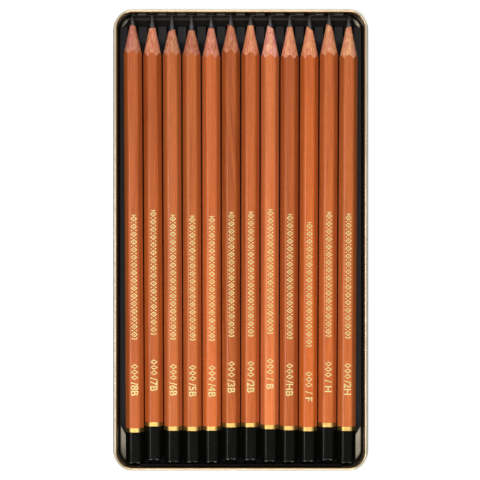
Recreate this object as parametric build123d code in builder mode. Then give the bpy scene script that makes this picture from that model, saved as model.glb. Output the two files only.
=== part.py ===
from build123d import *
from math import atan, cos, hypot, radians, sin, sqrt
import os

os.makedirs("parts", exist_ok=True)

# A tin of twelve graphite pencils, open, standing in its own upturned lid.
# Millimetres. X runs across the pencils, Y along them towards their points, Z up.
# The origin is the middle of the flat face that the set rests on.

# The pressed tray, measured over the curl that is rolled outward round its rim.
tray_width = 99.1
tray_length = 180.4
tray_corner = 7.4
tray_height = 10.8
tray_sheet = 0.25
tray_bend = 1.35
curl_diameter = 1.25

# The lift-off lid: its skirt clears the tray's curl and ends in a hem folded inward.
lid_sheet = 0.2
lid_bend = 1.6
lid_clearance = 0.12
skirt_height = 6.0
hem_depth = 2.0
hem_fold = 0.13

# The formed plastic bed: a groove for each pencil, a trough across the ends of the ridges,
# a ledge under the leads, and a low wall at each end. Its foot is relieved to clear the tray's bend,
# most at the ends, where it reaches nearest to the tray's wall.
bed_width = 95.2
bed_length = 177.6
bed_sheet = 0.4
end_relief = 0.95
side_relief = 0.38
ridge_rise = 1.65
groove_top = 4.4
groove_foot = 3.4
trough_width = 0.9
trough_slope = 0.4
ledge_rise = 2.75
ledge_depth = 1.0
ledge_slope = 1.3
end_wall = 0.8
end_wall_rise = 6.4
tip_chamfer = (4.9, 5.6)
cap_chamfer = (8.3, 15.8)

# The pencils: hexagonal, a flat side up, lying slightly closer together at their dipped ends.
pencil_count = 12
across_flats = 6.65
edge_radius = 1.3
lead_radius = 1.0
point_radius = 0.45
point_round = 0.2
seat_depth = 0.38
band_width = 1.6
band_skin = 0.03
dip_skin = 0.05
dip_floor = 0.4
dip_round = 0.3
pitch_at_points = 7.72
pitch_at_dips = 7.57
points_station = 71.0
dips_station = -69.0

# Each pencil from left to right: where its point and its dipped end lie along Y, how much lead and
# how much bare wood the knife left, the wood's radius where it ends, the lean of its front edge in
# degrees, positive where it reaches further on the right, and how far the end was dipped.
pencils = [
    (87.6, -87.6, 3.3, 9.9, 1.05, 0, 12.2),
    (88.4, -86.3, 5.1, 9.8, 1.3, 4, 13.3),
    (87.9, -87.1, 5.4, 8.8, 1.25, 24, 12.4),
    (88.0, -87.2, 5.6, 9.0, 1.25, 0, 12.4),
    (87.9, -87.2, 4.6, 10.5, 1.15, -6, 12.5),
    (88.7, -86.1, 4.5, 9.6, 1.2, -28, 12.7),
    (87.9, -86.3, 3.5, 10.8, 1.15, 0, 13.0),
    (88.0, -86.9, 4.3, 10.9, 1.2, -28, 12.8),
    (88.0, -87.1, 4.3, 11.2, 1.05, 5, 12.6),
    (88.0, -86.9, 4.8, 10.6, 1.25, -34, 12.0),
    (88.8, -86.4, 4.4, 10.8, 1.1, -28, 13.1),
    (87.5, -87.5, 3.8, 11.1, 1.05, 18, 12.7),
]

# Heights above the face that the set rests on.
tray_base = lid_sheet
tray_floor = tray_base + tray_sheet
rim_top = tray_base + tray_height
groove_floor = tray_floor + bed_sheet
ridge_top = tray_floor + ridge_rise
ledge_top = tray_floor + ledge_rise
wall_top = tray_floor + end_wall_rise
pencil_axis = ridge_top - seat_depth + across_flats / 2

# The lid's outside follows from the tray's.
lid_margin = lid_clearance + lid_sheet + 2 * hem_fold
lid_width = tray_width + 2 * lid_margin
lid_length = tray_length + 2 * lid_margin
lid_corner = tray_corner + lid_margin

# Stations of the bed along Y.
tip_wall = bed_length / 2 - end_wall
dip_wall = -tip_wall
ledge_front = tip_wall - ledge_depth
ledge_foot = ledge_front - ledge_slope
ridge_foot = ledge_foot - trough_width
ridge_end = ridge_foot - trough_slope


def half_outline(width, length, corner):
    """A tin's outline from the middle of its right side, round the end by the points, to its left side."""
    with BuildLine() as outline:
        FilletPolyline(
            (width / 2, 0),
            (width / 2, length / 2),
            (-width / 2, length / 2),
            (-width / 2, 0),
            radius=corner,
        )
    return outline.wire()


def wall_plane(width):
    """A plane across the right-hand wall: its X runs inward from the outline and its Y runs up."""
    return Plane(origin=(width / 2, 0, 0), x_dir=(-1, 0, 0), z_dir=(0, 1, 0))


# The lid lies upside down: its panel is on the table and its skirt stands up round the tray.
with BuildPart() as lid:
    skirt_inset = lid_sheet / 2
    fold_height = skirt_height - skirt_inset - hem_fold
    with BuildSketch(wall_plane(lid_width)):
        with BuildLine():
            CenterArc((lid_bend, lid_bend), lid_bend - skirt_inset, 270, -90)
            Line((skirt_inset, lid_bend), (skirt_inset, fold_height))
            CenterArc((skirt_inset + hem_fold, fold_height), hem_fold, 180, -180)
            hem_inset = skirt_inset + 2 * hem_fold
            Line((hem_inset, fold_height), (hem_inset, skirt_height - hem_depth))
            offset(amount=lid_sheet / 2, mode=Mode.REPLACE)
        make_face()
    sweep(path=half_outline(lid_width, lid_length, lid_corner))
    mirror(about=Plane.XZ)
    with BuildSketch():
        RectangleRounded(lid_width - 2 * lid_bend, lid_length - 2 * lid_bend, lid_corner - lid_bend)
    extrude(amount=lid_sheet)

# The tray: floor, bend, wall and a curl of three quarters of a turn, all in one pressed sheet.
with BuildPart() as tray:
    wall_inset = curl_diameter - tray_sheet / 2
    bend_inset = curl_diameter - tray_sheet + tray_bend
    curl_height = rim_top - curl_diameter / 2
    with BuildSketch(wall_plane(tray_width)):
        with BuildLine():
            CenterArc((bend_inset, tray_base + tray_bend), tray_bend - tray_sheet / 2, 270, -90)
            Line((wall_inset, tray_base + tray_bend), (wall_inset, curl_height))
            CenterArc((curl_diameter / 2, curl_height), (curl_diameter - tray_sheet) / 2, 0, 270)
            offset(amount=tray_sheet / 2, mode=Mode.REPLACE)
        make_face()
    sweep(path=half_outline(tray_width, tray_length, tray_corner))
    mirror(about=Plane.XZ)
    with BuildSketch(Plane.XY.offset(tray_base)):
        RectangleRounded(
            tray_width - 2 * bend_inset, tray_length - 2 * bend_inset, tray_corner - bend_inset
        )
    extrude(amount=tray_sheet)


def column(number, station):
    """How far across the tray the middle of a pencil lies, at a station along Y."""
    share = (station - dips_station) / (points_station - dips_station)
    pitch = pitch_at_dips + share * (pitch_at_points - pitch_at_dips)
    return (number - (pencil_count - 1) / 2) * pitch


def lying_plane(number, height):
    """A level plane over a pencil's middle line: its X runs to the right and its Y to the point."""
    run = points_station - dips_station
    lean = atan((column(number, points_station) - column(number, dips_station)) / run)
    return Plane(origin=(column(number, 0), 0, height), x_dir=(cos(lean), -sin(lean), 0), z_dir=(0, 0, 1))


def cross_plane(number, height, station):
    """A plane square across a pencil at a station: its X runs to the right, its Y down."""
    level = lying_plane(number, height)
    return Plane(origin=level.origin + level.y_dir * station, x_dir=level.x_dir, z_dir=level.y_dir)


def bed_outline():
    """The bed's outline in the open sketch: a rectangle with its corners cut off."""
    half_width = bed_width / 2
    half_length = bed_length / 2
    Polygon(
        (half_width, half_length - tip_chamfer[1]),
        (half_width - tip_chamfer[0], half_length),
        (tip_chamfer[0] - half_width, half_length),
        (-half_width, half_length - tip_chamfer[1]),
        (-half_width, cap_chamfer[1] - half_length),
        (cap_chamfer[0] - half_width, -half_length),
        (half_width - cap_chamfer[0], -half_length),
        (half_width, cap_chamfer[1] - half_length),
        align=None,
    )


def bed_block(inset):
    """The room the bed takes up: its outline with a chamfered foot, shrunk by an inset."""
    with BuildPart() as block:
        with BuildSketch(Plane.XY.offset(tray_floor)):
            bed_outline()
            if inset:
                offset(amount=-inset, kind=Kind.INTERSECTION)
        extrude(amount=end_wall_rise)
        chamfer(block.faces().sort_by(Axis.Z)[0].edges(), side_relief + inset * (sqrt(2) - 1))
    return block.part


def cut_groove(number, skin):
    """Cut a pencil's groove, grown on both sides by a skin, which then also runs out below."""
    slope = (groove_top - groove_foot) / 2 / (ridge_top - groove_floor)
    above = ridge_top + 1
    below = tray_floor - 1 if skin else groove_floor
    half_above = groove_top / 2 + slope * (above - ridge_top) + skin * hypot(1, slope)
    half_below = groove_top / 2 + slope * (below - ridge_top) + skin * hypot(1, slope)
    with BuildSketch(cross_plane(number, 0, dip_wall)) as section:
        Polygon(
            (-half_above, -above),
            (half_above, -above),
            (half_below, -below),
            (-half_below, -below),
            align=None,
        )
    length = (ridge_foot + ledge_foot) / 2 - dip_wall
    extrude(section.sketch, amount=length, mode=Mode.SUBTRACT)


# The hollow that forming leaves under the bed's ridges and ledge.
with BuildPart() as underside:
    slope = ledge_slope / (ledge_top - groove_floor)
    core_foot = ledge_foot - slope * bed_sheet + bed_sheet * hypot(1, slope)
    core_front = core_foot + slope * (ledge_top - groove_floor)
    with BuildSketch(Plane.YZ):
        Polygon(
            (dip_wall + bed_sheet, tray_floor),
            (dip_wall + bed_sheet, ridge_top - bed_sheet),
            (ridge_end - bed_sheet, ridge_top - bed_sheet),
            (ridge_end - bed_sheet, tray_floor),
            align=None,
        )
        Polygon(
            (core_foot, tray_floor),
            (core_front, ledge_top - bed_sheet),
            (tip_wall, ledge_top - bed_sheet),
            (tip_wall, tray_floor),
            align=None,
        )
    extrude(amount=bed_width / 2, both=True)
    add(bed_block(bed_sheet), mode=Mode.INTERSECT)
    for number in range(pencil_count):
        cut_groove(number, bed_sheet)

with BuildPart() as bed:
    with BuildSketch(Plane.YZ):
        Polygon(
            (end_relief - bed_length / 2, tray_floor),
            (-bed_length / 2, tray_floor + end_relief),
            (-bed_length / 2, wall_top),
            (dip_wall, wall_top),
            (dip_wall, ridge_top),
            (ridge_end, ridge_top),
            (ridge_foot, groove_floor),
            (ledge_foot, groove_floor),
            (ledge_front, ledge_top),
            (tip_wall, ledge_top),
            (tip_wall, wall_top),
            (bed_length / 2, wall_top),
            (bed_length / 2, tray_floor + end_relief),
            (bed_length / 2 - end_relief, tray_floor),
            align=None,
        )
    extrude(amount=bed_width / 2, both=True)
    add(bed_block(0), mode=Mode.INTERSECT)
    for number in range(pencil_count):
        cut_groove(number, 0)
        # The notch for the point is round below and as wide as the groove.
        with BuildSketch(cross_plane(number, ledge_top + groove_top / 2, tip_wall)):
            Circle(groove_top / 2)
            with Locations((0, -groove_top)):
                Rectangle(groove_top, 2 * groove_top)
        extrude(amount=2 * end_wall, mode=Mode.SUBTRACT)
    add(underside.part, mode=Mode.SUBTRACT)


def hexagon(skin):
    """A pencil's section in the open sketch, grown by a skin."""
    outline = RegularPolygon(across_flats / 2 + skin, 6, major_radius=False)
    fillet(outline.vertices(), edge_radius + skin)


def hexagon_hole(skin):
    """A pencil's section, grown by a skin, taken out of the open sketch."""
    with BuildSketch(mode=Mode.PRIVATE) as hole:
        hexagon(skin)
    add(hole.sketch, mode=Mode.SUBTRACT)


def make_casing(number, point, dipped_end, bare_lead, bare_wood, nose_radius, lean):
    """The varnished wooden casing, bored for its lead and sharpened."""
    level = lying_plane(number, pencil_axis)
    front = point - bare_lead
    past = front + lead_radius
    taper = (across_flats / 2 - nose_radius) / bare_wood
    outside = across_flats
    with BuildPart() as casing:
        with BuildSketch(cross_plane(number, pencil_axis, dipped_end + dip_floor)):
            hexagon(0)
            Circle(lead_radius, mode=Mode.SUBTRACT)
        extrude(amount=past - dipped_end - dip_floor)
        with BuildSketch(level):
            shoulder = front - bare_wood
            Polygon(
                (outside, shoulder - (outside - across_flats / 2) / taper),
                (across_flats / 2 - (past - shoulder) * taper, past),
                (outside, past),
                align=None,
            )
        revolve(axis=Axis(level.origin, level.y_dir), mode=Mode.SUBTRACT)
        facing = level.y_dir * cos(radians(lean)) - level.x_dir * sin(radians(lean))
        split(bisect_by=Plane(origin=level.origin + level.y_dir * front, z_dir=facing), keep=Keep.BOTTOM)
    return casing.part


def make_lead(number, point, dipped_end, bare_lead):
    """The graphite core, pointed where it leaves the wood."""
    level = lying_plane(number, pencil_axis)
    with BuildPart() as lead:
        with BuildSketch(level):
            Polygon(
                (0, dipped_end + dip_floor),
                (lead_radius, dipped_end + dip_floor),
                (lead_radius, point - bare_lead),
                (point_radius, point),
                (0, point),
                align=None,
            )
        revolve(axis=Axis(level.origin, level.y_dir))
        fillet(lead.edges().sort_by(Axis.Y)[-1], point_round)
    return lead.part


def make_band(number, start):
    """The foil band that covers the edge of the dip."""
    with BuildPart() as band:
        with BuildSketch(cross_plane(number, pencil_axis, start)):
            hexagon(band_skin)
            hexagon_hole(0)
        extrude(amount=band_width)
    return band.part


def make_dip(number, dipped_end, depth):
    """The lacquer that the end was dipped in: a thin hexagonal cup with a rounded foot."""
    with BuildPart() as dip:
        with BuildSketch(cross_plane(number, pencil_axis, dipped_end)):
            hexagon(dip_skin)
        extrude(amount=depth)
        fillet(dip.faces().sort_by(Axis.Y)[0].edges(), dip_round)
        with BuildSketch(cross_plane(number, pencil_axis, dipped_end + dip_floor)):
            hexagon(0)
        extrude(amount=depth, mode=Mode.SUBTRACT)
    return dip.part


lid.part.label = "lid"
tray.part.label = "tray"
bed.part.label = "pencil_bed"
pieces = [lid.part, tray.part, bed.part]

for number, (point, dipped_end, bare_lead, bare_wood, nose_radius, lean, depth) in enumerate(pencils):
    made = {
        "casing": make_casing(number, point, dipped_end, bare_lead, bare_wood, nose_radius, lean),
        "lead": make_lead(number, point, dipped_end, bare_lead),
        "gold_band": make_band(number, dipped_end + depth),
        "dipped_end": make_dip(number, dipped_end, depth),
    }
    for name, piece in made.items():
        piece.label = f"pencil_{number + 1:02d}_{name}"
        pieces.append(piece)

for piece in pieces:
    export_step(piece, f"parts/{piece.label}.step")
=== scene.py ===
"""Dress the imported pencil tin: finer meshes and procedural finishes on the fixed frame.

The sizes of the tin and of its patterns are in millimetres, until a shape or a pattern is
finished. The studio's sizes are in metres.
"""

import logging
import math
from collections.abc import Callable, Iterable, Sequence
from dataclasses import dataclass
from enum import Enum

import bmesh
import bpy
from mathutils import Matrix, Vector, noise

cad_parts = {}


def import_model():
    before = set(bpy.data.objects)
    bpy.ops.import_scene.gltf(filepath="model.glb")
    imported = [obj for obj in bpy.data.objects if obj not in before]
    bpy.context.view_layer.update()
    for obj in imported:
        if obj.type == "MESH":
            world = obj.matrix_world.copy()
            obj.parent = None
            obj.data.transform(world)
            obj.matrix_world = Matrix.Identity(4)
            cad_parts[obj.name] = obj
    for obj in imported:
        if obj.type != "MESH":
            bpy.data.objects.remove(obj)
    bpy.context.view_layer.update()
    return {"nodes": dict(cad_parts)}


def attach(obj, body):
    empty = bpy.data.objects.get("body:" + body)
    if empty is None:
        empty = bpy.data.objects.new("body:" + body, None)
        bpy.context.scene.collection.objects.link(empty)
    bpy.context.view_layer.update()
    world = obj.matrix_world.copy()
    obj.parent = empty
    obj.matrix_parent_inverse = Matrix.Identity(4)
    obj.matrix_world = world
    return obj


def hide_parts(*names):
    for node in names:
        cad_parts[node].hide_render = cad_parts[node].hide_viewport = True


LOG = logging.getLogger("pencil_tin")
MILLIMETRE = 0.001
MERGED = 0.0005
AROUND_Y = (0, 1, 0)
AROUND_Z = (0, 0, 1)
CORNER_STEPS = 14

Colour = tuple[float, float, float]
Shade = tuple[float, float, float, float]
Tones = tuple[Colour, Colour]
Stops = Sequence[tuple[float, Shade]]
Span = tuple[float, float]
Value = bpy.types.NodeSocket
Material = bpy.types.Material
Loop = list[bmesh.types.BMEdge]
Place = Callable[[Vector], Vector]


class Slot(Enum):
    """The record's material slots."""

    TRAY = "tray_lacquer"
    LID = "lid_lacquer"
    BED = "bed_plastic"
    CEDAR = "varnished_cedar"
    GRAPHITE = "graphite"
    FOIL = "gold_foil"
    DIP = "black_dip"


class Blend(Enum):
    """How one colour lies on another."""

    COVER = "MIX"
    STAIN = "MULTIPLY"


class Rounded(Enum):
    """What a bevel rounds."""

    CORNERS = "VERTICES"
    EDGES = "EDGES"


class Edge(Enum):
    """The pencil's uneven edges, each with a pattern of its own."""

    VARNISH = 0.3
    NOSE = 4.7
    SPLINTERS = 9.1
    BAND_BACK = 1.2
    BAND_FRONT = 2.9


class Lozenge(Enum):
    """Half a foil lozenge's width and length and the width of its line, 0 if it is solid."""

    LINK = (1.3, 1.14, 0.44)
    HEART = (0.3, 0.26, 0.0)
    DOT = (0.4, 0.3, 0.0)
    BAR = (1.2, 0.22, 0.0)
    MARK = (1.42, 0.98, 0.46)


def linear(colour: Colour) -> Shade:
    """Turn a colour as seen on a screen into one for a shader.

    Args:
        colour: Red, green and blue from 0 to 255.

    Returns:
        The linear colour, with an alpha of 1.
    """
    def channel(value: float) -> float:
        """Undo the screen's curve for one channel."""
        share = value / 255
        return share / 12.92 if share <= 0.04045 else ((share + 0.055) / 1.055) ** 2.4

    return (*map(channel, colour), 1.0)


def shaded(colour: Shade, shares: Iterable[float]) -> Shade:
    """Multiply a colour's parts, to 1 at most, and leave it opaque."""
    return (*(min(1.0, part * share) for part, share in zip(colour, shares)), 1.0)


class Finish:
    """The node tree of one material."""

    def __init__(self, name: str, **surface: object) -> None:
        """Start a material and set what is the same all over it.

        Args:
            name: The material's name.
            surface: What feeds the shader's sockets, as in set.
        """
        self.material = bpy.data.materials.new(name)
        self.material.use_nodes = True
        self.tree = self.material.node_tree
        self.shader = self.tree.nodes["Principled BSDF"]
        self.set(**surface)
        self.place = self.add("ShaderNodeTexCoord", {}).outputs["Object"]

    def feed(self, socket: Value, value: object) -> None:
        """Link an output to a socket, or set the socket's value.

        Args:
            socket: The input to feed.
            value: Another node's output, or a plain value.
        """
        if isinstance(value, Value):
            self.tree.links.new(value, socket)
        else:
            socket.default_value = value

    def set(self, **surface: object) -> None:
        """Feed the shader's sockets, which are named with underscores for spaces."""
        for socket, value in surface.items():
            self.feed(self.shader.inputs[socket.replace("_", " ")], value)

    def add(self, kind: str, values: dict[str | int, object], **settings: object) -> bpy.types.Node:
        """Add a node.

        Args:
            kind: The node's type.
            values: What feeds each of its inputs.
            settings: The node's own settings.

        Returns:
            The new node.
        """
        node = self.tree.nodes.new(kind)
        for setting, value in settings.items():
            setattr(node, setting, value)
        for socket, value in values.items():
            self.feed(node.inputs[socket], value)
        return node

    def axes(self) -> tuple[Value, ...]:
        """Give the surface's place along X, Y and Z, in metres."""
        return tuple(self.add("ShaderNodeSeparateXYZ", {0: self.place}).outputs)

    def own_normal(self) -> Value:
        """Give the surface's normal in the piece's own space."""
        return self.add("ShaderNodeTexCoord", {}).outputs["Normal"]

    def facing(self) -> Value:
        """Give how squarely the surface faces up, from -1 to 1."""
        return self.add("ShaderNodeSeparateXYZ", {0: self.own_normal()}).outputs[2]

    def cloud(
        self, sizes: Colour, offset: float = 0.0, turn: float = 0.0, detail: float = 2.0, rough: float = 0.55
    ) -> Value:
        """Make soft noise.

        Args:
            sizes: The size of its features along X, Y and Z in millimetres.
            offset: How far it is shifted, in features.
            turn: How far it is turned round Z, in degrees.
            detail: How many finer layers lie on it.
            rough: How strong the finer layers are.

        Returns:
            The noise, about 0.5.
        """
        scale = tuple(1 / (size * MILLIMETRE) for size in sizes)
        shift = (offset, offset * 1.7, offset * 0.6)
        around = (0, 0, math.radians(turn))
        turned = self.add("ShaderNodeMapping", {"Vector": self.place, "Rotation": around}).outputs[0]
        where = self.add("ShaderNodeMapping", {"Vector": turned, "Scale": scale, "Location": shift}).outputs[0]
        layers = {"Scale": 1.0, "Detail": detail, "Roughness": rough}
        return self.add("ShaderNodeTexNoise", {"Vector": where} | layers).outputs[0]

    def band(self, value: Value, low: float, high: float, onto: Span = (0, 1)) -> Value:
        """Map the range of a value from low to high onto another, clamped and eased."""
        values = {0: value, 1: low, 2: high, 3: onto[0], 4: onto[1]}
        return self.add("ShaderNodeMapRange", values, interpolation_type="SMOOTHSTEP").outputs[0]

    def between(self, distance: Value, span: Span, onto: Span = (0, 1)) -> Value:
        """Map a range of a distance, which is stated in millimetres, as band does."""
        return self.band(distance, span[0] * MILLIMETRE, span[1] * MILLIMETRE, onto)

    def ramp(self, value: Value, stops: Stops) -> Value:
        """Turn a value into a colour.

        Args:
            value: The value to look up.
            stops: Positions and colours, in order.

        Returns:
            The colour.
        """
        node = self.add("ShaderNodeValToRGB", {0: value})
        elements = node.color_ramp.elements
        for position, _ in stops[2:]:
            elements.new(position)
        for element, (position, colour) in zip(elements, stops):
            element.position = position
            element.color = colour
        return node.outputs[0]

    def clouded(self, clouds: Value, tones: Tones, full: float = 0.7) -> Value:
        """Blend two colours by clouds, so that the second is full from a value on."""
        return self.ramp(clouds, [(0.3, linear(tones[0])), (full, linear(tones[1]))])

    def mixed(self, share: object, first: object, second: object, how: Blend = Blend.COVER) -> Value:
        """Lay a share of the second colour on the first."""
        values = {0: share, 6: first, 7: second}
        return self.add("ShaderNodeMix", values, data_type="RGBA", blend_type=how.value).outputs[2]

    def maths(self, kind: str, first: object, second: object = 0.0) -> Value:
        """Combine two numbers by a kind of operation."""
        return self.add("ShaderNodeMath", {0: first, 1: second}, operation=kind).outputs[0]

    def plus(self, first: object, second: object) -> Value:
        """Add two numbers."""
        return self.maths("ADD", first, second)

    def minus(self, first: object, second: object) -> Value:
        """Take the second number from the first."""
        return self.maths("SUBTRACT", first, second)

    def times(self, first: object, second: object) -> Value:
        """Multiply two numbers."""
        return self.maths("MULTIPLY", first, second)

    def most(self, first: object, second: object) -> Value:
        """Give the greater of two numbers."""
        return self.maths("MAXIMUM", first, second)

    def unsigned(self, value: Value) -> Value:
        """Give a number without its sign."""
        return self.maths("ABSOLUTE", value)

    def dress(self, colour: Value, roughness: Value, height: Value, depth: float) -> Material:
        """Feed the shader and finish the material.

        Args:
            colour: The base colour.
            roughness: The roughness.
            height: The relief, from 0 to 1.
            depth: How deep the relief is, in millimetres.

        Returns:
            The material.
        """
        relief = {"Height": height, "Distance": depth * MILLIMETRE, "Strength": 1.0}
        bump = self.add("ShaderNodeBump", relief).outputs[0]
        self.set(Base_Color=colour, Roughness=roughness, Normal=bump)
        return self.material


@dataclass(frozen=True)
class TinLacquer:
    """Bright tinplate under clear lacquer, with painted shade in the bend inside.

    The rolled rim has a champagne coat, with painted shade on its inner flank. The inner wall is duller, and
    painted darker as shade.
    """

    rim: Tones = ((207, 194, 165), (219, 208, 181))
    outside: Tones = ((209, 190, 153), (218, 200, 164))
    inside: Tones = ((208, 197, 176), (226, 216, 196))
    streak: Colour = (186, 176, 160)
    # the colour of the painted shade on the roll's inner flank
    flank: Colour = (176, 132, 78)
    inner_wall_shade: Colour = (96, 84, 66)
    # the colour of the painted shade in the bend
    dust_and_shade: Colour = (58, 50, 42)
    rim_foot: Span = (9.3, 10.1)
    bend_shade_foot: Span = (0.5, 0.58)
    bend_shade_top: Span = (1.4, 2.0)
    satin_top: Span = (2.0, 4.0)
    full: float = 0.65

    def material(self) -> Material:
        """Make the material."""
        kit = Finish("champagne_lacquer")
        height = kit.axes()[2]
        up = kit.facing()
        level = kit.add("ShaderNodeVectorMath", {0: kit.place, 1: (1, 1, 0)}, operation="MULTIPLY").outputs[0]
        outward = kit.add("ShaderNodeVectorMath", {0: level, 1: kit.own_normal()}, operation="DOT_PRODUCT")
        inward = kit.band(outward.outputs["Value"], -0.004, 0.0, (1, 0))
        above = kit.between(height, self.rim_foot)
        flank = kit.times(inward, kit.band(up, 0.84, 0.97, (1, 0)))
        crown = kit.minus(above, flank)
        coated = kit.times(above, kit.band(flank, 0.0, 1.0, (0.7, 0.3)))
        kit.set(Metallic=kit.minus(1.0, coated))
        inner = kit.most(inward, kit.band(up, 0.5, 0.9))
        inner = kit.times(inner, kit.band(above, 0.0, 1.0, (1, 0)))
        # painted shade: the bend and the low inner wall are darkened and roughened
        bend_shade = kit.times(kit.between(height, self.bend_shade_foot), kit.between(height, self.bend_shade_top, (1, 0)))
        bend_shade = kit.times(bend_shade, inward)

        clouds = kit.cloud((9, 14, 9), detail=4)
        rolled = kit.cloud((0.12, 6.0, 0.4), 3.1, detail=3)
        scuffs = kit.band(kit.cloud((0.5, 3.5, 0.5), 9.0, 24, 5, 0.7), 0.64, 0.76)
        rim = kit.clouded(clouds, self.rim, self.full)
        rim = kit.mixed(kit.band(rolled, 0.35, 0.75, (0, 0.1)), rim, linear(self.streak))
        inside = kit.clouded(clouds, self.inside, self.full)
        # painted shade darkens the inner wall where it faces inward
        inside = kit.mixed(kit.times(inward, 0.75), inside, linear(self.inner_wall_shade))
        colour = kit.mixed(inner, kit.clouded(clouds, self.outside, self.full), inside)
        colour = kit.mixed(kit.band(crown, 0.0, 1.0), colour, rim)
        # painted shade on the roll's inner flank
        colour = kit.mixed(kit.times(above, flank), colour, linear(self.flank))
        colour = kit.mixed(bend_shade, colour, linear(self.dust_and_shade))
        roughness = kit.plus(kit.band(rolled, 0.3, 0.7, (0.1, 0.16)), kit.times(scuffs, 0.12))
        roughness = kit.plus(roughness, kit.times(bend_shade, 0.3))
        satin = kit.between(height, self.satin_top, (0.28, 0.1))
        roughness = kit.plus(roughness, kit.times(inner, satin))
        return kit.dress(colour, roughness, kit.plus(rolled, kit.times(scuffs, -0.6)), 0.0015)


@dataclass(frozen=True)
class LidLacquer:
    """Satin black lacquer over tinplate, rubbed through along the hem."""

    hem: float
    reach: float = 0.25
    tones: Tones = ((30, 29, 31), (43, 42, 44))
    scuffed: Colour = (92, 90, 90)
    bared: Colour = (176, 170, 160)

    def material(self) -> Material:
        """Make the material."""
        kit = Finish("satin_black_lacquer", Coat_Weight=0.25, Coat_Roughness=0.2)
        peel = kit.cloud((0.45, 0.45, 0.45))
        clouds = kit.cloud((16, 22, 16), 2.0, detail=4)
        scuffs = kit.band(kit.cloud((0.35, 5.0, 0.35), 5.0, 31, 5, 0.7), 0.63, 0.72)
        near_hem = kit.between(kit.axes()[2], (self.hem - self.reach, self.hem + self.reach))
        specks = kit.band(kit.cloud((1.1, 1.1, 0.5), 7.0, 0, 5, 0.7), 0.56, 0.66)
        rubbed = kit.times(near_hem, specks)
        colour = kit.clouded(clouds, self.tones)
        colour = kit.mixed(kit.times(scuffs, 0.3), colour, linear(self.scuffed))
        colour = kit.mixed(rubbed, colour, linear(self.bared))
        roughness = kit.plus(kit.band(clouds, 0.3, 0.7, (0.3, 0.42)), kit.times(scuffs, 0.15))
        return kit.dress(colour, roughness, kit.plus(peel, kit.times(rubbed, -0.8)), 0.006)


@dataclass(frozen=True)
class FormedPlastic:
    """Black formed sheet, with painted sheen on its raised tops where no pencil covers it and painted highlights
    and shade on its steps at the points.

    The steps' painted highlights and shade are counted from steps_start, in lengths of steps_length.
    """

    tones: Tones = ((9, 8, 8), (16, 15, 15))
    top_sheen: Colour = (36, 32, 32)
    shadow: Colour = (9, 9, 7)
    rubbed: Colour = (66, 62, 64)
    dust_and_shade: Colour = (98, 90, 88)
    raised: Span = (1.75, 1.95)
    margin: Span = (44.8, 45.4)
    bare_end: Span = (76.5, 80.0)
    dipped_end: Span = (-78.0, -66.0)
    steps_start: float = 79.0
    steps_length: float = 10.0
    # painted light and shade: dark troughs, a lit edge line and lit tops of the end wall
    steps: tuple[tuple[float, Colour], ...] = (
        (0.56, (20, 18, 15)),
        (0.63, (20, 18, 15)),
        (0.66, (40, 36, 31)),
        (0.755, (40, 36, 31)),
        (0.775, (62, 58, 52)),
        (0.83, (62, 58, 52)),
        (0.86, (24, 20, 17)),
        (0.92, (24, 20, 17)),
        (0.945, (82, 76, 70)),
    )

    def material(self) -> Material:
        """Make the material."""
        kit = Finish("formed_black_sheet")
        grain = kit.cloud((0.22, 0.22, 0.22))
        clouds = kit.cloud((7, 12, 7), 4.0, detail=4)
        rubs = kit.band(kit.cloud((0.3, 5.5, 0.3), 8.0, detail=4, rough=0.65), 0.6, 0.72)
        dust_and_shade = kit.band(kit.cloud((0.14, 0.14, 0.14), 6.0), 0.64, 0.72, (0, 0.3))
        across, along, height = kit.axes()
        raised = kit.between(height, self.raised)
        top = kit.times(raised, kit.band(kit.facing(), 0.86, 0.98))
        bare = kit.between(along, self.bare_end, (0.1, 1))
        bare = kit.most(kit.between(kit.unsigned(across), self.margin), bare)
        kit.set(Specular_IOR_Level=kit.band(kit.times(raised, bare), 0, 1, (0.2, 0.45)))
        reach = kit.minus(along, self.steps_start * MILLIMETRE)
        reach = kit.times(reach, 1 / (self.steps_length * MILLIMETRE))
        steps = kit.ramp(reach, [(at, linear(tone)) for at, tone in self.steps])

        colour = kit.clouded(clouds, self.tones)
        # painted sheen: the raised tops that no pencil covers are lighter
        colour = kit.mixed(kit.times(top, bare), colour, linear(self.top_sheen))
        colour = kit.mixed(kit.between(along, self.dipped_end, (0.9, 0)), colour, linear(self.shadow))
        # painted highlights and shade on the steps at the points' end
        colour = kit.mixed(kit.band(reach, 0.5, 0.56, (0, 0.85)), colour, steps)
        colour = kit.mixed(kit.times(rubs, 0.15), colour, linear(self.rubbed))
        colour = kit.mixed(kit.times(dust_and_shade, top), colour, linear(self.dust_and_shade))
        roughness = kit.plus(kit.band(clouds, 0.3, 0.7, (0.14, 0.22)), kit.times(rubs, 0.12))
        roughness = kit.plus(roughness, kit.band(reach, 0.9, 0.94, (0, 0.35)))
        return kit.dress(colour, roughness, grain, 0.003)


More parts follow.
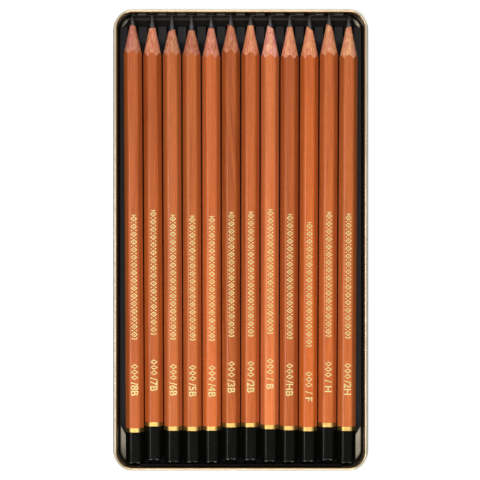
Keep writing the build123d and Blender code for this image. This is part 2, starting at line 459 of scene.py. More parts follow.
@dataclass(frozen=True)
class VarnishedCedar:
    """Stained cedar under clear varnish, a little different on each pencil.

    It is darker towards the point, and has painted shade the further a side turns away from the top.
    """

    number: int
    tone: Colour
    slant: float
    contrast: float
    darker: Colour = (0.36, 0.48, 0.52)
    lighter: Colour = (0.2, 0.3, 0.3)
    vessels: Shade = (0.34, 0.06, 0.01, 1)
    pores: Shade = (0.2, 0.04, 0.008, 1)
    at_point: Shade = (0.805, 0.79, 0.8, 1)
    length: Span = (-75.0, 85.0)
    # painted shade by how far a side turns from the top
    turned: Stops = (
        (0.0, (0.5, 0.5, 0.5, 1)),
        (0.3, (0.56, 0.56, 0.58, 1)),
        (0.46, (0.87, 0.91, 1.0, 1)),
        (0.7, (0.87, 0.91, 1.0, 1)),
        (0.95, (1, 1, 1, 1)),
    )

    def material(self) -> Material:
        """Make the material."""
        name = f"varnished_cedar_{self.number:02d}"
        kit = Finish(name, Specular_IOR_Level=0.25, Coat_Weight=0.28, Coat_Roughness=0.2)
        seed = 11.3 * self.number
        streaks = kit.cloud((0.36, 22, 0.36), seed, self.slant, 4, 0.6)
        bands = kit.cloud((1.7, 60, 1.7), seed + 3, self.slant)
        pores = kit.cloud((0.16, 2.6, 0.16), seed + 6, self.slant)
        fine = kit.cloud((0.13, 5.0, 0.13), seed + 9, self.slant)
        middle = linear(self.tone)
        dark = shaded(middle, (1 - drop * self.contrast for drop in self.darker))
        light = shaded(middle, (1 + lift * self.contrast for lift in self.lighter))
        grain = kit.plus(kit.times(streaks, 0.6), kit.times(bands, 0.4))
        colour = kit.ramp(grain, [(0.34, dark), (0.5, middle), (0.66, light)])
        colour = kit.mixed(kit.band(fine, 0.4, 0.7, (0, 0.28)), colour, self.vessels)
        colour = kit.mixed(kit.band(pores, 0.62, 0.74, (0, 0.5)), colour, self.pores)
        colour = kit.mixed(kit.between(kit.axes()[1], self.length), colour, self.at_point, Blend.STAIN)
        # painted shade: the sides and the edges between pencils darken as they turn from the top
        turned = kit.ramp(kit.unsigned(kit.facing()), self.turned)
        colour = kit.mixed(1.0, colour, turned, Blend.STAIN)
        relief = kit.plus(streaks, kit.times(pores, -0.3))
        return kit.dress(colour, kit.band(streaks, 0.3, 0.7, (0.42, 0.3)), relief, 0.006)


@dataclass(frozen=True)
class BareCedar:
    """Freshly cut cedar on a sharpened cone, paler or darker on each pencil by three shares."""

    number: int
    slant: float
    pale: Colour
    tones: tuple[tuple[float, Colour], ...] = (
        (0.36, (186, 102, 74)),
        (0.5, (226, 144, 112)),
        (0.64, (246, 176, 144)),
    )
    drift: Stops = ((0.38, (1.0, 0.9, 1.0, 1)), (0.62, (1.0, 1.08, 0.84, 1)))
    vessels: Colour = (166, 84, 56)

    def material(self) -> Material:
        """Make the material."""
        kit = Finish(f"bare_cedar_{self.number:02d}", Specular_IOR_Level=0.25)
        seed = 5.9 * self.number
        streaks = kit.cloud((0.42, 12, 0.42), seed, self.slant, 4, 0.65)
        drift = kit.cloud((1.0, 16, 1.0), seed + 2, self.slant)
        fine = kit.cloud((0.1, 4.0, 0.1), seed + 4, self.slant)
        shaved = kit.cloud((1.6, 0.11, 1.6), seed + 8)
        colour = kit.ramp(streaks, [(at, shaded(linear(tone), self.pale)) for at, tone in self.tones])
        colour = kit.mixed(1.0, colour, kit.ramp(drift, self.drift), Blend.STAIN)
        colour = kit.mixed(kit.band(fine, 0.5, 0.75, (0, 0.4)), colour, linear(self.vessels))
        relief = kit.plus(streaks, kit.times(shaved, 0.6))
        return kit.dress(colour, kit.band(fine, 0.3, 0.7, (0.62, 0.78)), relief, 0.008)


@dataclass(frozen=True)
class GraphiteCore:
    """Sharpened graphite, with the faint rings that the blade leaves."""

    tones: Tones = ((66, 65, 67), (92, 91, 93))

    def material(self) -> Material:
        """Make the material."""
        kit = Finish("graphite_core", Metallic=0.25)
        rings = kit.cloud((1.4, 0.09, 1.4))
        clouds = kit.cloud((0.5, 0.9, 0.5), 3.0, detail=4)
        colour = kit.clouded(clouds, self.tones)
        return kit.dress(colour, kit.band(clouds, 0.3, 0.7, (0.44, 0.58)), rings, 0.008)


@dataclass(frozen=True)
class GoldFoil:
    """Hot-stamped gold foil, thinner in places, with painted shade where it turns down."""

    name: str
    wear: float
    metal: float
    tones: Tones
    wood: Colour = (150, 84, 40)
    # the colour of the painted shade
    turned: Colour = (96, 74, 30)

    def material(self) -> Material:
        """Make the material."""
        kit = Finish(self.name, Metallic=self.metal)
        clouds = kit.cloud((0.9, 1.6, 0.9), detail=4)
        specks = kit.band(kit.cloud((0.13, 0.2, 0.13), 5.0, 0, 4, 0.7), 0.6, 0.7, (0, self.wear))
        colour = kit.clouded(clouds, self.tones, 0.65)
        colour = kit.mixed(specks, colour, linear(self.wood))
        # painted shade where the foil turns down from the top
        colour = kit.mixed(kit.band(kit.facing(), 0.6, 0.95, (0.7, 0)), colour, linear(self.turned))
        return kit.dress(colour, kit.band(clouds, 0.3, 0.7, (0.54, 0.46)), clouds, 0.01)


@dataclass(frozen=True)
class DipLacquer:
    """Deep gloss black lacquer, a little wavy from the dip, with pale specks of painted highlight by a share."""

    name: str
    highlight_share: float
    tones: Tones = ((8, 8, 6), (14, 14, 11))
    # the colour of the painted highlights
    highlight_tone: Colour = (206, 204, 190)

    def material(self) -> Material:
        """Make the material."""
        kit = Finish(self.name, Specular_IOR_Level=0.17)
        waves = kit.cloud((1.6, 2.6, 1.6))
        clouds = kit.cloud((0.6, 3.0, 0.6), 2.0, detail=4)
        # pale specks that stand for highlights
        specks = kit.band(kit.cloud((0.3, 0.3, 0.3), 7.0, 0, 3, 0.7), 0.44, 0.56, (0, self.highlight_share))
        colour = kit.mixed(specks, kit.clouded(clouds, self.tones), linear(self.highlight_tone))
        roughness = kit.plus(kit.band(clouds, 0.3, 0.7, (0.15, 0.22)), kit.times(specks, 0.4))
        return kit.dress(colour, roughness, waves, 0.02)


def picked(kind: type, made: Iterable[object]) -> list:
    """Pick the vertices, edges or faces out of what an operator made."""
    return [part for part in made if isinstance(part, kind)]


class Shape:
    """A mesh under construction, in millimetres."""

    def __init__(self) -> None:
        """Start an empty mesh."""
        self.mesh = bmesh.new()
        self.pen: bmesh.types.BMVert | None = None

    def start(self, x: float, z: float, y: float = 0.0) -> None:
        """Put the pen down, on the section's plane if no Y is given."""
        self.pen = bmesh.ops.create_vert(self.mesh, co=(x, y, z))["vert"][0]

    def line(self, x: float, z: float, y: float = 0.0) -> None:
        """Draw a straight line to a point."""
        self.pen = bmesh.ops.extrude_vert_indiv(self.mesh, verts=[self.pen])["verts"][0]
        self.pen.co = (x, y, z)

    def arc(self, x: float, z: float, degrees: float, steps: int) -> None:
        """Draw an arc round (x, z), clockwise with +X right and +Z up, or back if negative."""
        made = bmesh.ops.spin(
            self.mesh, geom=[self.pen], cent=(x, 0, z), axis=AROUND_Y, angle=math.radians(degrees), steps=steps
        )
        self.pen = picked(bmesh.types.BMVert, made["geom_last"])[0]

    def ring(self, edges: Loop, place: Place) -> Loop:
        """Extrude edges and put each new vertex in its place.

        Args:
            edges: The edges to extrude.
            place: Gives a vertex's new place from its old one.

        Returns:
            The new edges at the far side.
        """
        made = bmesh.ops.extrude_edge_only(self.mesh, edges=edges)["geom"]
        fresh = set(picked(bmesh.types.BMVert, made))
        for vert in fresh:
            vert.co = place(vert.co)
        return [edge for edge in picked(bmesh.types.BMEdge, made) if fresh.issuperset(edge.verts)]

    def bevel(self, geom: list, offset: float, rounded: Rounded, segments: int, clamped: bool = False) -> None:
        """Round edges or corners by an offset, with so many faces, clamped where two would meet."""
        bmesh.ops.bevel(
            self.mesh, geom=geom, offset=offset, offset_type="OFFSET", affect=rounded.value,
            segments=segments, profile=0.5, material=-1, clamp_overlap=clamped,
        )

    def merge(self, distance: float = MERGED) -> None:
        """Make vertices one that lie within a distance."""
        bmesh.ops.remove_doubles(self.mesh, verts=self.mesh.verts, dist=distance)

    def sweep(self, width: float, length: float, corner: float) -> None:
        """Carry the drawn section round a rounded rectangle and close the floor above and below.

        Args:
            width: The rectangle's width.
            length: The rectangle's length.
            corner: The radius of its corners.
        """
        run = length - 2 * corner
        across = width - 2 * corner
        turns = [
            (Vector((0, run / 2, 0)), (1, 1)),
            (Vector((-across, 0, 0)), (-1, 1)),
            (Vector((0, -run, 0)), (-1, -1)),
            (Vector((across, 0, 0)), (1, -1)),
        ]
        edges = list(self.mesh.edges)
        for step, (side, end) in turns:
            edges = self.ring(edges, lambda point: point + step)
            made = bmesh.ops.spin(
                self.mesh,
                geom=edges + list({vert for edge in edges for vert in edge.verts}),
                cent=(side * across / 2, end * run / 2, 0),
                axis=AROUND_Z,
                angle=math.radians(90),
                steps=CORNER_STEPS,
            )
            edges = picked(bmesh.types.BMEdge, made["geom_last"])
        self.ring(edges, lambda point: point + turns[0][0])
        self.merge()
        rims = [edge for edge in self.mesh.edges if edge.is_boundary]
        bmesh.ops.holes_fill(self.mesh, edges=rims, sides=0)

    def finish(
        self,
        name: str,
        body: str,
        materials: list[Material],
        slot: Slot,
        replaced: tuple[str, ...] = (),
        lies: Matrix | None = None,
        crease: float = 35.0,
    ) -> None:
        """Turn the shape into a piece that rides on a body.

        Args:
            name: The piece's name.
            body: The body that it rides on.
            materials: Its materials, in the order that its faces count them.
            slot: Not used.
            replaced: The CAD nodes that it stands for.
            lies: Where it lies in the frame, in millimetres.
            crease: The angle between faces past which an edge is sharp, in degrees.
        """
        self.merge()
        bmesh.ops.recalc_face_normals(self.mesh, faces=self.mesh.faces)
        place = Matrix.Scale(MILLIMETRE, 4) @ (lies or Matrix())
        bmesh.ops.transform(self.mesh, matrix=place, verts=self.mesh.verts)
        for face in self.mesh.faces:
            face.smooth = True
        for edge in self.mesh.edges:
            kinds = {face.material_index for face in edge.link_faces}
            edge.smooth = len(kinds) < 2 and edge.calc_face_angle(0.0) < math.radians(crease)
        data = bpy.data.meshes.new(name)
        self.mesh.to_mesh(data)
        self.mesh.free()
        for material in materials:
            data.materials.append(material)
        piece = bpy.data.objects.new(name, data)
        bpy.context.scene.collection.objects.link(piece)
        flat = piece.modifiers.new("flat_shading", "WEIGHTED_NORMAL")
        flat.keep_sharp = True
        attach(piece, body)
        if replaced:
            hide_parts(*replaced)
        LOG.info("%s: %d faces on %s", name, len(data.polygons), body)


@dataclass
class Tray:
    """The pressed tray with its rolled rim."""

    width: float = 99.1
    length: float = 180.4
    corner: float = 7.4
    base: float = 0.2
    height: float = 10.8
    sheet: float = 0.25
    bend: float = 1.35
    curl: float = 1.25

    def build(self) -> None:
        """Draw the section, carry it round and dress it."""
        shape = Shape()
        outside = self.width / 2
        foot = outside - (self.curl - self.sheet + self.bend)
        roll = outside - self.curl / 2
        crown = self.base + self.height - self.curl / 2
        inner = self.curl / 2 - self.sheet
        shape.start(foot, self.base)
        shape.arc(foot, self.base + self.bend, -90, steps=8)
        shape.line(roll - inner, crown)
        shape.arc(roll, crown, 270, steps=24)
        shape.arc(roll, crown - self.curl / 2 + self.sheet / 2, -180, steps=6)
        shape.arc(roll, crown, -270, steps=36)
        shape.line(roll - self.curl / 2, self.base + self.bend)
        shape.arc(foot, self.base + self.bend, 90, steps=8)
        shape.sweep(self.width, self.length, self.corner)
        shape.finish("tray_shell", "tray", [TinLacquer().material()], Slot.TRAY, ("tray",))


@dataclass
class Lid:
    """The lift-off lid, upturned, with a hem folded inward."""

    width: float = 100.26
    length: float = 181.56
    corner: float = 7.98
    sheet: float = 0.2
    bend: float = 1.6
    skirt: float = 6.0
    hem: float = 2.0
    fold: float = 0.13

    def build(self) -> None:
        """Draw the section, carry it round and dress it."""
        shape = Shape()
        outside = self.width / 2
        foot = outside - self.bend
        top = self.skirt - self.sheet / 2 - self.fold
        fold = outside - self.sheet / 2 - self.fold
        hem_foot = self.skirt - self.hem
        hem = outside - self.sheet / 2 - 2 * self.fold
        shape.start(foot, 0)
        shape.arc(foot, self.bend, -90, steps=12)
        shape.line(outside, top)
        shape.arc(fold, top, -180, steps=14)
        shape.line(hem - self.sheet / 2, hem_foot)
        shape.arc(hem, hem_foot, -180, steps=6)
        shape.line(hem + self.sheet / 2, top)
        shape.arc(fold, top, 180, steps=8)
        shape.line(outside - self.sheet, self.bend)
        shape.arc(foot, self.bend, 90, steps=12)
        shape.sweep(self.width, self.length, self.corner)
        shape.finish("lid_shell", "lid", [LidLacquer(top).material()], Slot.LID, ("lid",))


@dataclass
class PencilBed:
    """The ribbed bed, its moulded edges rounded so that they catch the light."""

    rounding: float = 0.16
    rounded_past: float = 24.0
    flat_within: float = 1.0
    crease: float = 50.0
    merged: float = 0.0001

    def build(self, node: bpy.types.Object) -> None:
        """Round the edges of a copy of the CAD bed and dress it.

        Args:
            node: The CAD bed.
        """
        shape = Shape()
        mesh = shape.mesh
        mesh.from_mesh(node.data)
        shape.merge(self.merged * MILLIMETRE)
        bmesh.ops.scale(mesh, vec=(1 / MILLIMETRE,) * 3, verts=mesh.verts)
        flat = math.radians(self.flat_within)
        bmesh.ops.dissolve_limit(mesh, angle_limit=flat, verts=mesh.verts, edges=mesh.edges)
        sharp = math.radians(self.rounded_past)
        edges = [edge for edge in mesh.edges if edge.calc_face_angle(0.0) > sharp]
        shape.bevel(edges, self.rounding, Rounded.EDGES, 2, clamped=True)
        finishes = [FormedPlastic().material()]
        shape.finish("bed_sheet", "bed", finishes, Slot.BED, ("pencil_bed",), crease=self.crease)


@dataclass(frozen=True)
class PencilFinishes:
    """The finishes that all pencils share."""

    graphite: Material
    band: Material
    stamp: Material
    dip: Material
    highlighted_dip: Material


def to_station(station: float) -> Place:
    """Give the move along a pencil to a station."""
    return lambda point: Vector((point.x, station, point.z))


def drawn_in(station: float, inset: float) -> Place:
    """Give the move along a pencil to a station and inwards by an inset."""
    def place(point: Vector) -> Vector:
        """Move one vertex."""
        across = Vector((point.x, 0, point.z))
        return across * (1 - inset / across.length) + Vector((0, station, 0))

    return place


@dataclass
class Pencil:
    """One sharpened hexagonal pencil, a flat side up.

    Its own Y runs to the point, and its stations are counted along it. The first fields, up to
    foil_shift, tell it from the other pencils.
    """

    number: int
    point: float
    dipped_end: float
    bare_lead: float
    bare_wood: float
    nose_radius: float
    lean: float
    depth: float
    tone: Colour
    slant: float
    contrast: float
    bare: Colour
    grade: str
    foil_shift: float
    row_middle: float = 6.5
    row_back: float = -69.0
    row_front: float = 71.0
    pitch_back: float = 7.57
    pitch_front: float = 7.72
    axis_height: float = 5.045
    half_flats: float = 3.325
    edge_radius: float = 1.3
    edge_segments: int = 7
    flat_cuts: int = 9
    scallop: float = 1.3
    varnish_rag: float = 0.16
    nose_rag: float = 0.3
    splinter_rag: float = 0.2
    bore_depth: float = 0.12
    lead_radius: float = 1.0
    lead_play: float = 0.01
    lead_rounding: float = 0.05
    lead_shoulder: float = 0.6
    point_radius: float = 0.45
    point_wear: float = 0.16
    dip_floor: float = 0.4
    dip_skin: float = 0.05
    foot_radius: float = 0.55
    foot_dome: float = 0.07
    foot_steps: int = 6
    highlight_rise: Span = (0.1, 0.36)
    highlight_turn: Span = (14, 34)
    band_skin: float = 0.03
    band_width: float = 1.6
    band_rag: float = 0.09
    links: int = 16
    link_pitch: float = 3.02
    line_start: float = 9.4
    dot_aside: float = 0.82
    marks: int = 3
    mark_pitch: float = 2.15
    mark_start: float = -49.6
    foil_aside: float = 0.2
    foil_lift: float = 0.012
    foil_skin: float = 0.03
    grade_size: float = 3.95
    grade_place: Span = (-1.2, -58.4)

    @property
    def body(self) -> str:
        """The body that the pencil's pieces ride on."""
        return f"pencil_{self.number:02d}"

    def column(self, station: float) -> float:
        """Give how far across the tray the pencil's middle lies at a station along Y."""
        share = (station - self.row_back) / (self.row_front - self.row_back)
        return (self.number - self.row_middle) * (self.pitch_back + share * (self.pitch_front - self.pitch_back))

    def lies(self) -> Matrix:
        """Give where the pencil lies, turned a little so that the row fans out."""
        run = self.row_front - self.row_back
        turn = math.atan((self.column(self.row_front) - self.column(self.row_back)) / run)
        place = Matrix.Translation((self.column(0.0), 0, self.axis_height))
        return place @ Matrix.Rotation(-turn, 4, "Z")

    def hexagon(self, shape: Shape, skin: float, station: float, capped: bool = False) -> Loop:
        """Draw the pencil's rounded section.

        Args:
            shape: The shape that it starts.
            skin: How far it is grown.
            station: Where along the pencil it stands.
            capped: Whether it keeps a face.

        Returns:
            Its edges.
        """
        upright = Matrix(((0, 1, 0, 0), (0, 0, 1, station), (1, 0, 0, 0), (0, 0, 0, 1)))
        radius = (self.half_flats + skin) / math.cos(math.radians(30))
        corners = bmesh.ops.create_circle(
            shape.mesh, cap_ends=True, segments=6, radius=radius, matrix=upright
        )["verts"]
        offset = (self.edge_radius + skin) * math.tan(math.radians(30))
        shape.bevel(corners, offset, Rounded.CORNERS, self.edge_segments)
        face = next(iter(shape.mesh.faces))
        flats = [edge for edge in face.edges if edge.calc_length() > self.edge_radius]
        bmesh.ops.subdivide_edges(shape.mesh, edges=flats, cuts=self.flat_cuts)
        loop = list(face.edges)
        if not capped:
            bmesh.ops.delete(shape.mesh, geom=[face], context="FACES_ONLY")
        return loop

    def ragged(self, point: Vector, depth: float, edge: Edge) -> float:
        """Give the uneven shift of an edge, up to a depth, going round without a step."""
        where = Vector((point.x * 1.9, self.number * 7.1 + edge.value, point.z * 1.9))
        return depth * noise.noise(where)

    def casing(self) -> None:
        """Build the bored wooden casing with its scalloped varnish edge and bare cone."""
        shape = Shape()
        front = self.point - self.bare_lead
        shoulder = front - self.bare_wood
        taper = (self.half_flats - self.nose_radius) / self.bare_wood
        corner = (self.half_flats - self.edge_radius) / math.cos(math.radians(30)) + self.edge_radius
        lean = math.tan(math.radians(self.lean))
        back = self.dipped_end + self.dip_floor

        def outwards(point: Vector) -> Vector:
            """The direction of a vertex from the pencil's middle."""
            return Vector((point.x, 0, point.z)).normalized()

        def scalloped(point: Vector) -> Vector:
            """Where the varnish ends: further back on the rounded edges."""
            radius = math.hypot(point.x, point.z)
            drop = (radius - self.half_flats) / (corner - self.half_flats) * self.scallop
            rag = self.ragged(point, self.varnish_rag, Edge.VARNISH)
            return Vector((point.x, shoulder - drop + rag, point.z))

        def on_cone(share: float) -> Place:
            """The place on the cone at a share of its length."""
            run = share * self.bare_wood
            along = Vector((0, shoulder + run, 0))
            return lambda point: outwards(point) * (self.half_flats - run * taper) + along

        def nose(point: Vector) -> Vector:
            """Where the wood ends, leaning and a little torn."""
            out = outwards(point)
            place = out * (self.nose_radius / (1 + taper * lean * out.x))
            torn = self.ragged(out * 1.6, self.nose_rag, Edge.NOSE)
            torn += self.ragged(out * 5.0, self.splinter_rag, Edge.SPLINTERS)
            return Vector((place.x, front + place.x * lean + torn, place.z))

        def bored(point: Vector) -> Vector:
            """The edge of the bore at the nose."""
            place = outwards(point) * self.lead_radius
            return Vector((place.x, front + place.x * lean - self.bore_depth, place.z))

        start = self.hexagon(shape, 0, back)
        edge = shape.ring(start, to_station(shoulder - self.scallop - 2))
        edge = shape.ring(edge, scalloped)
        varnished = len(shape.mesh.faces)
        for place in (on_cone(0.02), on_cone(0.35), on_cone(0.7), nose, bored, to_station(back)):
            edge = shape.ring(edge, place)
        bmesh.ops.bridge_loops(shape.mesh, edges=start + edge)
        shape.mesh.faces.ensure_lookup_table()
        for face in shape.mesh.faces[varnished:]:
            face.material_index = 1
        finishes = [
            VarnishedCedar(self.number, self.tone, self.slant, self.contrast).material(),
            BareCedar(self.number, self.slant, self.bare).material(),
        ]
        self.finish(shape, "wood", finishes, Slot.CEDAR, "casing")

    def lead(self, finish: Material) -> None:
        """Build the graphite core, worn a little at its point.

        Args:
            finish: The graphite.
        """
        shape = Shape()
        mesh = shape.mesh
        back = self.dipped_end + self.dip_floor
        front = self.point - self.bare_lead - self.lead_shoulder / 2
        radius = self.lead_radius - self.lead_play
        shape.start(0, 0, back)
        shape.line(radius, 0, back)
        shape.line(radius, 0, front - 2)
        shape.line(radius, 0, front)
        shape.line(radius - self.lead_rounding, 0, front + self.lead_shoulder)
        shape.line(self.point_radius, 0, self.point)
        shape.line(0, 0, self.point)
        drawn = mesh.verts[:] + mesh.edges[:]
        bmesh.ops.spin(
            mesh, geom=drawn, cent=(0, 0, 0), axis=AROUND_Y, angle=math.tau, steps=40, use_merge=True
        )
        shape.merge()
        rim = [
            edge for edge in mesh.edges
            if all(vert.co.y > self.point - 0.001 and vert.co.xz.length > 0.1 for vert in edge.verts)
        ]
        shape.bevel(rim, self.point_wear, Rounded.EDGES, 4)
        self.finish(shape, "core", [finish], Slot.GRAPHITE, "lead")

    def band(self, finish: Material) -> None:
        """Build the foil band, uneven where it was rolled on.

        Args:
            finish: The foil.
        """
        shape = Shape()
        low = self.dipped_end + self.depth
        high = low + self.band_width
        skin = 1 + self.band_skin / self.half_flats

        def grown(station: float, scale: float, rim: Edge) -> Place:
            """A ring of the band at a station, with a wavy edge."""
            return lambda point: Vector(
                (point.x * scale, station + self.ragged(point, self.band_rag, rim), point.z * scale)
            )

        edge = self.hexagon(shape, 0.003, low)
        edge = shape.ring(edge, grown(low, skin, Edge.BAND_BACK))
        edge = shape.ring(edge, grown(high, 1.0, Edge.BAND_FRONT))
        shape.ring(edge, grown(high, 1 / skin, Edge.BAND_FRONT))
        self.finish(shape, "foil_band", [finish], Slot.FOIL, "gold_band")

    def dip(self, finishes: list[Material]) -> None:
        """Build the lacquer cup over the end, with a softly domed foot.

        Args:
            finishes: The lacquer, and the same with painted highlights.
        """
        shape = Shape()
        low = self.dipped_end
        rim = low + self.depth
        grow = 1 + self.dip_skin / self.half_flats
        edge = self.hexagon(shape, 0.001, low + self.dip_floor, capped=True)
        edge = shape.ring(edge, to_station(rim + 0.02))
        edge = shape.ring(edge, lambda point: Vector((point.x * grow, rim - 0.05, point.z * grow)))
        edge = shape.ring(edge, to_station(low + self.foot_dome + self.foot_radius))
        done = 0.0
        for step in range(1, self.foot_steps + 1):
            turn = math.radians(90 * step / self.foot_steps)
            inset = self.foot_radius * (1 - math.cos(turn))
            station = low + self.foot_dome + self.foot_radius * (1 - math.sin(turn))
            edge = shape.ring(edge, drawn_in(station, inset - done))
            done = inset
        edge = shape.ring(edge, drawn_in(low + 0.03, 0.9))
        edge = shape.ring(edge, drawn_in(low, 1.0))
        bmesh.ops.holes_fill(shape.mesh, edges=edge, sides=0)
        # painted highlights: faces at both upper corners of the foot take the second finish
        for face in shape.mesh.faces:
            middle = face.calc_center_median()
            turn = math.degrees(math.atan2(abs(middle.x), middle.z))
            risen = self.highlight_rise[0] < middle.y - low < self.highlight_rise[1]
            if risen and self.highlight_turn[0] < turn < self.highlight_turn[1]:
                face.material_index = 1
        self.finish(shape, "dip", finishes, Slot.DIP, "dipped_end")

    def foil_line(self, finish: Material) -> None:
        """Stamp a plain chain of lozenges and dots, and a few marks, along the top flat.

        Args:
            finish: The foil.
        """
        shape = Shape()
        start = self.line_start - self.foil_shift
        for link in range(self.links):
            station = start - 1.1 - link * self.link_pitch
            self.lozenge(shape, Lozenge.LINK, station)
            self.lozenge(shape, Lozenge.HEART, station)
            for side in (-1, 1):
                self.lozenge(shape, Lozenge.DOT, station - self.link_pitch / 2, self.dot_aside * side)
        for station in (start + 0.3, start - self.links * self.link_pitch + 0.1):
            self.lozenge(shape, Lozenge.BAR, station)
        for mark in range(self.marks):
            self.lozenge(shape, Lozenge.MARK, self.mark_start - self.foil_shift - mark * self.mark_pitch)
        self.press(shape)
        self.finish(shape, "foil_line", [finish], Slot.FOIL)

    def lozenge(self, shape: Shape, kind: Lozenge, station: float, aside: float = 0.0) -> None:
        """Draw a lozenge on the top flat.

        Args:
            shape: The shape that it joins.
            kind: Which lozenge it is.
            station: Where along the pencil it lies.
            aside: How far its middle lies to the right of the line's.
        """
        half_width, half_length, stroke = kind.value
        before = set(shape.mesh.faces)
        place = Matrix.Translation((self.foil_aside + aside, station, 0))
        size = place @ Matrix.Diagonal((half_width, half_length, 1, 1))
        bmesh.ops.create_circle(shape.mesh, cap_ends=True, segments=4, radius=1.0, matrix=size)
        face = next(iter(set(shape.mesh.faces) - before))
        if stroke:
            bmesh.ops.inset_individual(shape.mesh, faces=[face], thickness=stroke)
            bmesh.ops.delete(shape.mesh, geom=[face], context="FACES_ONLY")

    def press(self, shape: Shape) -> None:
        """Lift flat foil onto the top flat and give it its thickness."""
        mesh = shape.mesh
        bmesh.ops.translate(mesh, vec=(0, 0, self.half_flats + self.foil_lift), verts=mesh.verts)
        bmesh.ops.recalc_face_normals(mesh, faces=mesh.faces)
        made = bmesh.ops.extrude_face_region(mesh, geom=mesh.faces[:], use_keep_orig=True)["geom"]
        bmesh.ops.translate(mesh, vec=(0, 0, -self.foil_skin), verts=picked(bmesh.types.BMVert, made))

    def grade_mark(self, finish: Material) -> None:
        """Stamp the plain hardness grade near the dipped end.

        Args:
            finish: The foil.
        """
        text = bpy.data.curves.new(f"{self.body}_grade", "FONT")
        text.body = f"/ {self.grade}" if len(self.grade) == 1 else f"/{self.grade}"
        text.size = self.grade_size
        text.align_x = "CENTER"
        text.extrude = self.foil_skin / 2
        text.offset = 0.05
        holder = bpy.data.objects.new(text.name, text)
        bpy.context.scene.collection.objects.link(holder)
        bpy.context.view_layer.update()
        flat = bpy.data.meshes.new_from_object(holder.evaluated_get(bpy.context.evaluated_depsgraph_get()))
        shape = Shape()
        shape.mesh.from_mesh(flat)
        bpy.data.objects.remove(holder)
        bpy.data.curves.remove(text)
        bpy.data.meshes.remove(flat)
        aside, station = self.grade_place
        place = Matrix.Translation((aside, station - self.foil_shift, self.half_flats - 0.003))
        turned = place @ Matrix.Rotation(math.radians(-90), 4, "Z")
        bmesh.ops.transform(shape.mesh, matrix=turned, verts=shape.mesh.verts)
        self.finish(shape, "grade_mark", [finish], Slot.FOIL)

    def finish(
        self, shape: Shape, part: str, materials: list[Material], slot: Slot, replaced: str = ""
    ) -> None:
        """Lay a finished shape where the pencil lies, for the CAD node whose name ends as stated."""
        nodes = (f"{self.body}_{replaced}",) if replaced else ()
        shape.finish(f"{self.body}_{part}", self.body, materials, slot, nodes, self.lies())

    def build(self, finishes: PencilFinishes) -> None:
        """Build and dress every piece of the pencil.

        Args:
            finishes: The finishes that all pencils share.
        """
        self.casing()
        self.lead(finishes.graphite)
        self.band(finishes.band)
        self.dip([finishes.dip, finishes.highlighted_dip])
        self.foil_line(finishes.stamp)
        self.grade_mark(finishes.stamp)


PENCILS = [
    Pencil(1, 87.6, -87.6, 3.3, 9.9, 1.05, 0, 12.2, (211, 108, 50), 0.5, 0.8, (0.74, 0.69, 0.79), "8B", 0.0),
    Pencil(2, 88.4, -86.3, 5.1, 9.8, 1.3, 4, 13.3, (205, 102, 42), 1.5, 0.75, (0.9, 0.86, 0.82), "7B", -1.85),
    Pencil(3, 87.9, -87.1, 5.4, 8.8, 1.25, 24, 12.4, (213, 113, 55), -0.5, 0.65, (0.77, 0.82, 0.75), "6B", 0.0),
    Pencil(4, 88.0, -87.2, 5.6, 9.0, 1.25, 0, 12.4, (210, 110, 50), 0.3, 0.65, (0.69, 0.63, 0.6), "5B", 0.35),
    Pencil(5, 87.9, -87.2, 4.6, 10.5, 1.15, -6, 12.5, (231, 120, 58), -0.6, 0.65, (0.9, 0.86, 0.94), "4B", 0.5),
    Pencil(6, 88.7, -86.1, 4.5, 9.6, 1.2, -28, 12.7, (197, 100, 42), -5.0, 0.95, (0.73, 0.67, 0.63), "3B", -1.1),
    Pencil(7, 87.9, -86.3, 3.5, 10.8, 1.15, 0, 13.0, (213, 109, 50), 0.8, 0.65, (0.97, 0.92, 0.85), "2B", -1.2),
    Pencil(8, 88.0, -86.9, 4.3, 10.9, 1.2, -28, 12.8, (238, 130, 69), 0.4, 0.75, (1.07, 1.16, 1.42), "B", -2.2),
    Pencil(9, 88.0, -87.1, 4.3, 11.2, 1.05, 5, 12.6, (199, 100, 44), -0.9, 0.75, (1.0, 1.02, 0.98), "HB", -0.3),
    Pencil(10, 88.0, -86.9, 4.8, 10.6, 1.25, -34, 12.0, (228, 115, 48), 0.2, 0.65, (1.05, 1.05, 0.94), "F", 2.87),
    Pencil(11, 88.8, -86.4, 4.4, 10.8, 1.1, -28, 13.1, (218, 113, 51), 1.1, 0.8, (0.94, 1.01, 0.87), "H", -1.1),
    Pencil(12, 87.5, -87.5, 3.8, 11.1, 1.05, 18, 12.7, (213, 112, 53), -0.4, 0.75, (0.97, 1.07, 1.02), "2H", -0.43),
]


@dataclass(frozen=True)
class Lamp:
    """A square soft lamp that faces the middle of the object."""

    name: str
    place: tuple[float, float, float]
    size: float
    watts: float

    def hang(self) -> None:
        """Hang the lamp."""
        lamp = bpy.data.lights.new(self.name, "AREA")
        lamp.size = self.size
        lamp.energy = self.watts
        place = Vector(self.place)
        holder = bpy.data.objects.new(self.name, lamp)
        holder.matrix_world = Matrix.Translation(place) @ place.to_track_quat("Z", "Y").to_matrix().to_4x4()
        bpy.context.scene.collection.objects.link(holder)


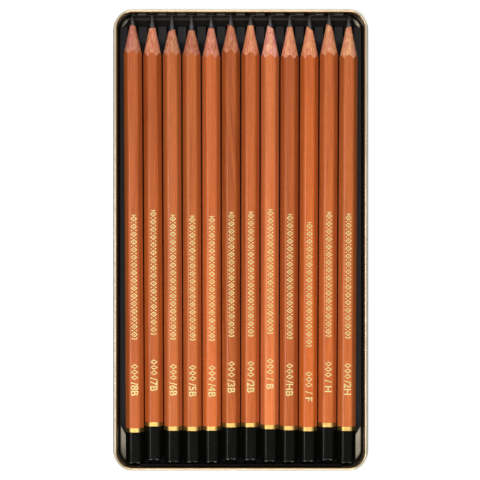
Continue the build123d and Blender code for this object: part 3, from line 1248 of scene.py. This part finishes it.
@dataclass
class Studio:
    """A plain white floor, a pale sky, three soft windows and a camera that looks straight down."""

    floor_size: float = 8.0
    floor_tones: Stops = ((0.3, (0.8, 0.8, 0.8, 1)), (0.7, (0.82, 0.82, 0.82, 1)))
    floor_glow: float = 0.5
    camera_height: float = 0.7
    camera_shift: float = -0.00026
    lens: float = 132.4
    world_strength: float = 0.3
    lamps: tuple[Lamp, ...] = (
        Lamp("left_window", (-0.34, -0.06, 0.74), 0.26, 1.8),
        Lamp("near_window", (0.04, -0.64, 0.76), 0.4, 3.6),
        Lamp("far_window", (0.04, 0.64, 0.76), 0.5, 3.6),
    )

    def floor(self) -> None:
        """Lay a white floor that keeps the shadow and glows a little where it is seen."""
        mesh = bmesh.new()
        bmesh.ops.create_grid(mesh, x_segments=1, y_segments=1, size=self.floor_size / 2)
        data = bpy.data.meshes.new("studio_floor")
        mesh.to_mesh(data)
        mesh.free()
        floor = bpy.data.objects.new("studio_floor", data)
        bpy.context.scene.collection.objects.link(floor)
        kit = Finish("white_sweep", Roughness=0.9, Specular_IOR_Level=0.1)
        kit.set(Base_Color=kit.ramp(kit.cloud((300, 300, 300)), self.floor_tones))
        path = kit.add("ShaderNodeLightPath", {}).outputs
        seen = kit.most(path["Is Camera Ray"], path["Is Glossy Ray"])
        seen = kit.most(seen, path["Is Transmission Ray"])
        glow = kit.add("ShaderNodeEmission", {"Strength": kit.times(seen, self.floor_glow)})
        both = kit.add("ShaderNodeAddShader", {0: kit.shader.outputs[0], 1: glow.outputs[0]})
        kit.tree.links.new(both.outputs[0], kit.tree.nodes["Material Output"].inputs["Surface"])
        data.materials.append(kit.material)

    def lights(self) -> None:
        """Light the object from a pale sky and the lamps."""
        world = bpy.data.worlds.new("pale_sky")
        world.use_nodes = True
        sky = world.node_tree.nodes["Background"]
        sky.inputs["Color"].default_value = (1, 1, 1, 1)
        sky.inputs["Strength"].default_value = self.world_strength
        bpy.context.scene.world = world
        for lamp in self.lamps:
            lamp.hang()

    def camera(self) -> None:
        """Set up the camera."""
        lens = bpy.data.cameras.new("overhead")
        lens.lens = self.lens
        lens.sensor_width = 36.0
        holder = bpy.data.objects.new("overhead", lens)
        holder.location = (self.camera_shift, 0, self.camera_height)
        bpy.context.scene.collection.objects.link(holder)
        bpy.context.scene.camera = holder

    def build(self) -> None:
        """Set the stage."""
        self.floor()
        self.lights()
        self.camera()
        bpy.context.scene.view_settings.view_transform = "Standard"


def main() -> None:
    """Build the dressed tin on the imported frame."""
    logging.basicConfig(level=logging.INFO)
    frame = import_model()
    Studio().build()
    Lid().build()
    Tray().build()
    PencilBed().build(frame["nodes"]["pencil_bed"])
    finishes = PencilFinishes(
        graphite=GraphiteCore().material(),
        band=GoldFoil("gold_foil_band", 0.25, 0.95, ((232, 188, 104), (250, 212, 128))).material(),
        stamp=GoldFoil("gold_foil_stamp", 0.6, 0.6, ((214, 192, 120), (246, 232, 168))).material(),
        dip=DipLacquer("gloss_black_dip", 0.0).material(),
        highlighted_dip=DipLacquer("highlighted_black_dip", 0.85).material(),
    )
    for pencil in PENCILS:
        pencil.build(finishes)


if __name__ == "__main__":
    main()
